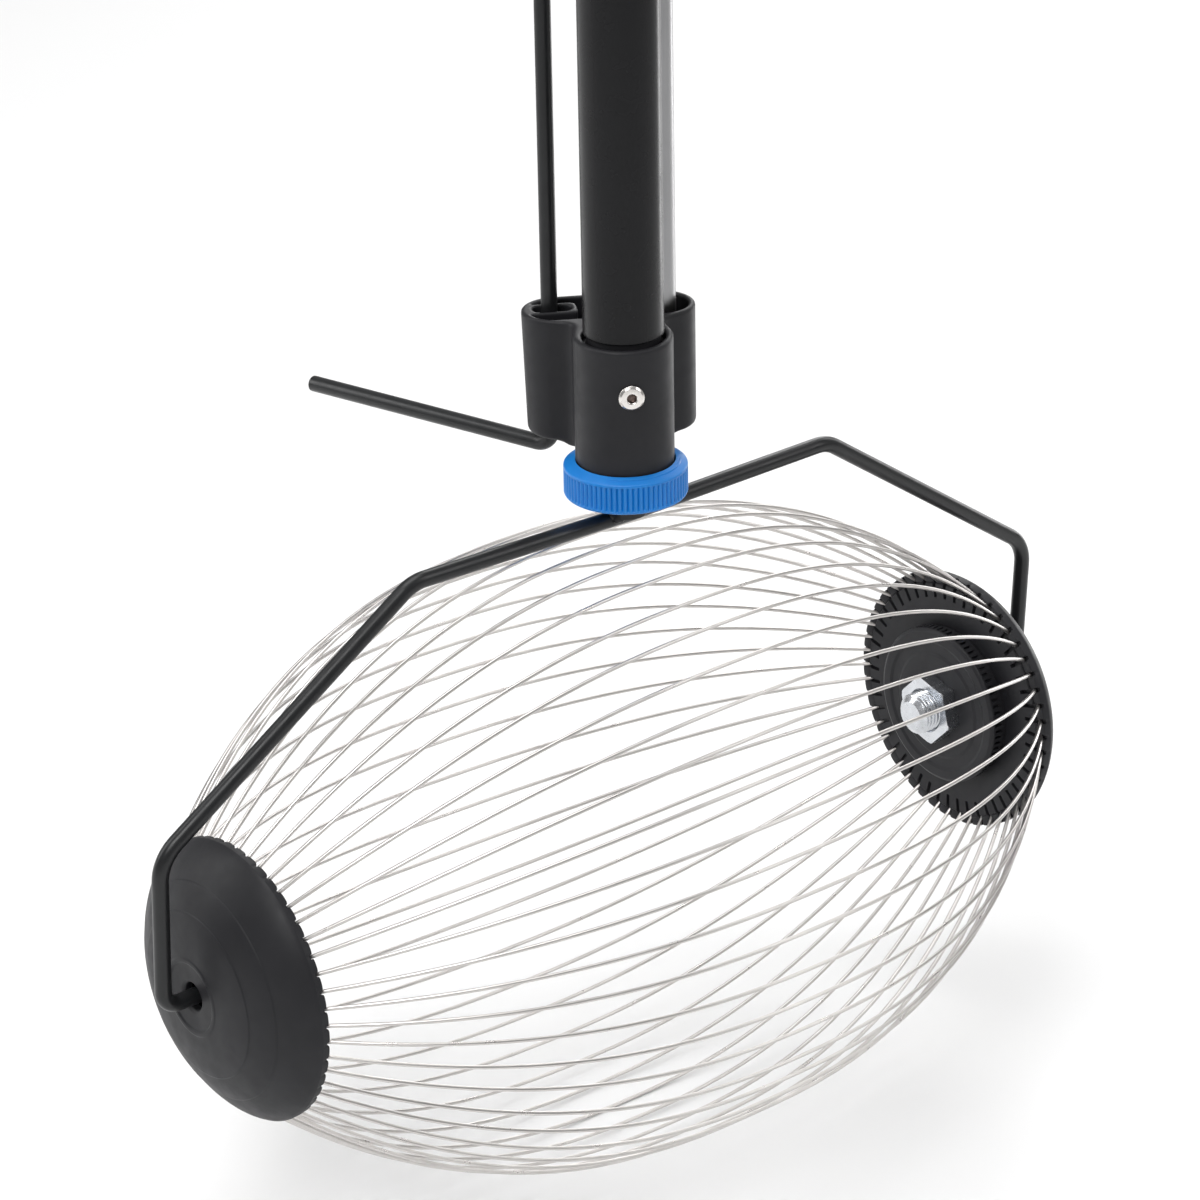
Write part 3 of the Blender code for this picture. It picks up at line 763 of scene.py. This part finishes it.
def make_cap(side, sign, looks):
    """A domed cap with two low steps, and teeth between the wires round its rim."""
    rim = 146.9
    rim_inner, rim_outer = 41.5, 45.0
    notch_half = 0.12            # of a pitch

    def toothed(radius, height, angle):
        depth = abs(height)
        if depth > NOTCH_FLOOR or radius < rim_inner - 0.5:
            return radius, height
        share = abs(phase(angle, WIRE_COUNT, WIRE_FIRST_ANGLE))
        if share < notch_half:
            return radius, sign * NOTCH_FLOOR
        crown = 0.3 * ((0.5 - share) / (0.5 - notch_half)) ** 4
        return radius, sign * min(NOTCH_FLOOR, depth + crown)

    skirt = softened([(42.2, 149.6), (rim_inner, rim + 2.4), (rim_inner, rim), (rim_outer, rim),
                      (45.2, 149.5)], 0.4)
    dome = softened([
        (45.2, 149.6), *bowed((45.2, 149.6), (42.6, 153.2), 0.15, 3), (42.6, 153.2),
        *bowed((42.6, 153.2), (35.2, 158.9), 0.3), (35.2, 158.9), (34.9, 159.3),
        *bowed((34.9, 159.3), (26.9, 163.25), 0.27), (26.9, 163.25), (26.6, 163.6),
        *bowed((26.6, 163.6), (12.9, 165.9), 0.4), (12.9, 165.9), (12.4, 166.15),
        (11.3, 166.15), (10.8, 165.7), (5.4, 165.5), (4.4, 164.9), (4.4, 161.8),
        (26.0, 161.6), (33.4, 157.6), (40.9, 151.6),
    ], 1.5)
    profile = [*skirt, *dome]
    marks = (-0.5, -0.4, -0.3, -0.2, -0.125, -0.115, 0.0, 0.115, 0.125, 0.2, 0.3, 0.4)
    cap = turned(f"cap_{side}_dome", [(radius, sign * height) for radius, height in profile],
                 BASKET, angles=pitched(WIRE_COUNT, WIRE_FIRST_ANGLE, marks), axis="X",
                 closed=True, shape=toothed)
    dress(cap, "basket", "black_plastic", looks, f"cap_{side}")


def make_retainer(side, sign, looks):
    """The disc inside a cap: a face with a comb behind its lip, and the slotted ring."""
    ribs = 76
    comb = 27.35                 # radius of the comb's ribs
    comb_root = 26.3
    rib_half = 0.27              # of a pitch

    def toothed(radius, height, angle):
        if abs(radius - comb) < 0.01 and abs(phase(angle, ribs, 0.0)) > rib_half:
            return comb_root, height
        return radius, height

    face = 139.7
    hub = [
        *softened([(7.3, 142.2), (7.3, face), (18.2, face), (19.2, face + 0.45),
                   (22.4, face + 0.45), (23.4, face), (26.2, face), (27.4, face + 0.7),
                   (27.4, face + 1.5)], 0.6),
        (comb, face + 1.55), (comb, 144.2), (26.4, 144.4), (26.4, 148.0),
        (24.8, 149.5), (24.8, 142.2),
    ]
    disc = turned(f"wire_retainer_{side}_disc",
                  [(radius, sign * height) for radius, height in hub], BASKET,
                  angles=pitched(ribs, 0.0, (-0.5, -0.29, -0.25, 0.0, 0.25, 0.29)),
                  axis="X", closed=True, shape=toothed)
    dress(disc, "basket", "black_plastic", looks, f"wire_retainer_{side}")

    slot_from = 36.6             # radius where the slots for the wires begin
    slot_half = 0.13             # of a pitch

    def slotted(radius, height, angle):
        turned_by = abs(phase(angle, WIRE_COUNT, WIRE_FIRST_ANGLE))
        if radius > slot_from and abs(height) < NOTCH_FLOOR and turned_by < slot_half:
            return radius, sign * NOTCH_FLOOR
        return radius, height

    inner, outer = 26.45, 41.45
    front = 146.5
    band = [
        *softened([(inner, 148.2), (inner, front), (slot_from - 0.2, front)], 0.2),
        (slot_from + 0.05, front),
        *softened([(outer - 0.45, front), (outer, 146.9), (outer, 148.4), (39.3, 149.5),
                   (inner, 149.5)], 0.3),
    ]
    ring = turned(f"wire_retainer_{side}_band",
                  [(radius, sign * height) for radius, height in band], BASKET,
                  angles=pitched(WIRE_COUNT, WIRE_FIRST_ANGLE,
                                 (-0.5, -0.3, -0.14, -0.12, 0.12, 0.14, 0.3)),
                  axis="X", closed=True, shape=slotted)
    dress(ring, "basket", "black_plastic", looks, f"wire_retainer_{side}")


def make_axle(side, sign, looks):
    """A hollow bolt with a flange behind the disc, and the nut that holds it."""
    start = SLEEVE_END_X
    thread_to = 150.0
    flange, flange_from, flange_to = 10.8, 158.9, 161.3
    bore_from = start + 1.9
    end_face = 4.7               # radius of the bolt's flat end
    outline = [
        (0.0, start), (end_face - 0.2, start), (end_face, start + 0.04),
        *upright(SLEEVE_RADIUS, start + 0.1, thread_to, 220), (SLEEVE_RADIUS, flange_from),
        (flange, flange_from), (flange, flange_to), (SLEEVE_BORE, flange_to),
        (SLEEVE_BORE, bore_from), (0.0, bore_from),
    ]

    cut = thread(1.5, 0.95, start, thread_to + 0.1, SLEEVE_RADIUS, fade=0.1)

    def screw(radius, height, angle):
        made, depth = cut(radius, abs(height), angle)
        if made > end_face:
            made = min(made, end_face + 0.1 + 1.3 * (depth - start))
        return made, sign * depth

    sleeve = turned(f"axle_sleeve_{side}_bolt",
                    [(radius, sign * height) for radius, height in outline],
                    BASKET, angles=96, axis="X", shape=screw, sharp=60.0)
    dress(sleeve, "basket", "zinc_plated", looks, f"axle_sleeve_{side}")

    flat = 10.5                  # half the nut's width across its flats
    corner = 12.2
    chamfer_from = 11.5          # radius where the chamfer of its corners begins
    front, back = 134.2, 139.6
    turn = math.radians(19.0)
    hole = SLEEVE_RADIUS + 0.1

    def six_sided(radius, height, angle):
        if radius < corner:
            return radius, height
        within = (angle + turn + math.pi / 6) % (math.pi / 3) - math.pi / 6
        chamfer = chamfer_from + 1.75 * (abs(height) - front)
        return min(radius, flat / math.cos(within), chamfer), height

    profile = [(hole, front + 1.0), (SLEEVE_RADIUS + 0.8, front),
               *upright(corner, front, back, 24), (hole, back)]
    nut = turned(f"axle_nut_{side}_hexagon",
                 [(radius, sign * height) for radius, height in profile], BASKET,
                 angles=144, axis="X", closed=True, shape=six_sided, sharp=28.0)
    dress(nut, "basket", "zinc_plated", looks, f"axle_nut_{side}")


def wire_radius_at(x):
    """Distance of a wire's centre line from the axle, at x along the axle."""
    bulge = BASKET_RADIUS - RIM_WIRE_RADIUS
    return RIM_WIRE_RADIUS + bulge * (1.0 - (abs(x) / RIM_X) ** BULGE_POWER)


def make_wires(looks):
    """Hairpins of two neighbouring wires, each a little out of true as spring wire is."""
    rng = random.Random(7)
    sway = math.radians(-1.4)    # how far all wires stand off their straight line half-way
    twist = math.radians(-1.0)   # added to sway towards the right end, taken off on the left
    steps = 56
    bend_depth = 0.7             # of the round that joins a hairpin's two wires
    stations = [-RIM_X * math.cos(math.pi * step / steps) for step in range(steps + 1)]
    for pair in range(WIRE_COUNT // 2):
        legs = []
        for leg in (1, 0):
            angle = WIRE_FIRST_ANGLE + WIRE_PITCH * (2 * pair + leg)
            swing = math.radians(rng.uniform(-0.5, 0.5))
            lean = math.radians(rng.uniform(-0.35, 0.35))
            stand = rng.uniform(-0.5, 0.0)
            points = []
            for x in [bend_depth - WIRE_END_X, *stations, WIRE_END_X]:
                share = x / RIM_X
                slack = max(0.0, 1.0 - share * share)
                turn = angle + slack * (swing + sway + (lean + twist) * share)
                radius = wire_radius_at(x) + slack * stand
                points.append(Vector((x, radius * math.cos(turn), radius * math.sin(turn))))
            legs.append(points)
        first, second = legs
        start, end = first[0], second[0]
        middle = 0.5 * (start + end)
        half = 0.5 * (end - start)
        bend = []
        for step in range(1, 8):
            turn = math.pi * step / 8
            deep = Vector((-bend_depth * math.sin(turn), 0.0, 0.0))
            bend.append(middle - half * math.cos(turn) + deep)
        path = [*reversed(first), *bend, *second]
        wire = swept(f"wire_pair_{pair + 1:02d}", path, WIRE_RADIUS, BASKET, sides=10)
        dress(wire, "basket", "stainless_wire", looks, f"basket_wires_{pair + 1:02d}")


# ---------------------------------------------------------------- stage

def make_floor():
    ground = min(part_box(f"basket_wires_{pair + 1:02d}")[0].z for pair in range(WIRE_COUNT // 2))
    mesh = bpy.data.meshes.new("floor")
    half = 4.0
    mesh.from_pydata([(x, y, ground) for x, y in
                      ((-half, -half), (half, -half), (half, half), (-half, half))],
                     [], [(0, 1, 2, 3)])
    floor = bpy.data.objects.new("floor", mesh)
    bpy.context.scene.collection.objects.link(floor)
    pale = bpy.data.materials.new("pale_floor")
    pale.use_nodes = True
    shader = pale.node_tree.nodes["Principled BSDF"]
    shader.inputs["Base Color"].default_value = (0.86, 0.86, 0.86, 1.0)
    shader.inputs["Roughness"].default_value = 0.8
    mesh.materials.append(pale)


def area_light(name, spot, target, size, power, colour=(1.0, 1.0, 1.0)):
    """A soft rectangular lamp at spot, in metres, that faces target."""
    data = bpy.data.lights.new(name, "AREA")
    data.shape = "RECTANGLE"
    data.size, data.size_y = size
    data.energy = power
    data.color = colour
    lamp = bpy.data.objects.new(name, data)
    lamp.location = spot
    lamp.rotation_mode = "QUATERNION"
    lamp.rotation_quaternion = (Vector(target) - Vector(spot)).to_track_quat("-Z", "Y")
    bpy.context.scene.collection.objects.link(lamp)


def make_lights():
    world = bpy.data.worlds.new("studio")
    world.use_nodes = True
    background = world.node_tree.nodes["Background"]
    background.inputs["Color"].default_value = (1.0, 1.0, 1.0, 1.0)
    background.inputs["Strength"].default_value = 0.3
    bpy.context.scene.world = world
    middle = (0.0, 0.0, ZERO * MM)
    area_light("key", (-1.3, -0.7, 1.2), middle, (0.9, 0.9), 18.0)
    area_light("fill", (1.0, -1.3, 0.7), middle, (0.5, 1.2), 6.0)
    area_light("back_left", (-1.2, 1.3, 0.5), middle, (0.5, 1.6), 12.0)
    area_light("back_right", (1.3, 1.2, 0.5), middle, (0.5, 1.6), 10.0)
    area_light("edge_right", (0.59, 0.12, -0.1), (0.0, 0.0, -0.1), (0.12, 0.9), 1.2)
    area_light("top", (0.0, 0.3, 1.9), middle, (1.6, 1.6), 28.0)


def make_camera():
    """A long lens that looks a little down on the tool, from its left front."""
    azimuth, elevation, roll = (math.radians(angle) for angle in (-38.641, 24.519, -1.071))
    distance = 1400.2
    aim = Vector((-11.1, 0.0, ZERO + 87.36))
    back = Vector((math.sin(azimuth) * math.cos(elevation),
                   -math.cos(azimuth) * math.cos(elevation), math.sin(elevation)))
    level_right = Vector((math.cos(azimuth), math.sin(azimuth), 0.0))
    level_up = back.cross(level_right)
    right = level_right * math.cos(roll) + level_up * math.sin(roll)
    up = back.cross(right)
    data = bpy.data.cameras.new("camera")
    data.sensor_width = 36.0
    data.lens = 135.0
    data.clip_start = 0.05
    camera = bpy.data.objects.new("camera", data)
    camera.matrix_world = Matrix((
        (*right, 0.0), (*up, 0.0), (*back, 0.0), (0.0, 0.0, 0.0, 1.0))).transposed()
    camera.location = (aim + back * distance) * MM
    bpy.context.scene.collection.objects.link(camera)
    bpy.context.scene.camera = camera


def main():
    looks = make_looks()
    make_pole(looks)
    make_bracket(looks)
    make_spare_tube(looks)
    make_emptying_rod(looks)
    make_yoke(looks)
    make_lock_nut(looks)
    for side, sign in (("left", -1.0), ("right", 1.0)):
        make_cap(side, sign, looks)
        make_retainer(side, sign, looks)
        make_axle(side, sign, looks)
    make_wires(looks)
    make_floor()
    make_lights()
    make_camera()
    bpy.context.scene.view_settings.view_transform = "Standard"


main()
